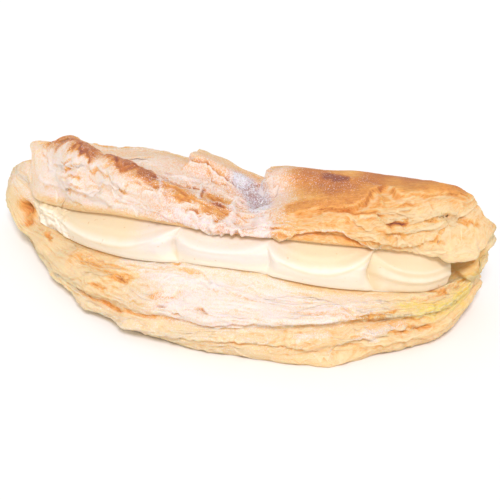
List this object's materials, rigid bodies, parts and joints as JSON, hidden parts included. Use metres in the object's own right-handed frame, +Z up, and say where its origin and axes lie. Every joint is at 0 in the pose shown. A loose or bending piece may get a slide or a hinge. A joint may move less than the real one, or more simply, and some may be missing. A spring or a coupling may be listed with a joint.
{
  "type": "cream-filled pastry turnover",
  "caption": "Half-moon of folded puff pastry, split along its round front edge and filled with a piped rope of cream, dusted with icing sugar. It lies flat and is eaten by hand.",
  "frame": {"origin": "middle of the underside's bounding box, on the surface that the turnover lies on", "axes": "+X along the length, towards the open right end; +Y towards the folded back, so the mouth faces -Y; +Z up"},
  "size_m": [0.1748, 0.0698, 0.0482],
  "materials": {
    "crust": "dry flaky baked pastry, golden to brown, with a dusting of icing sugar",
    "cream": "soft satin piped cream"
  },
  "bodies": {
    "root": {"pastry": "crust", "cream": "cream"}
  },
  "joints": []
}
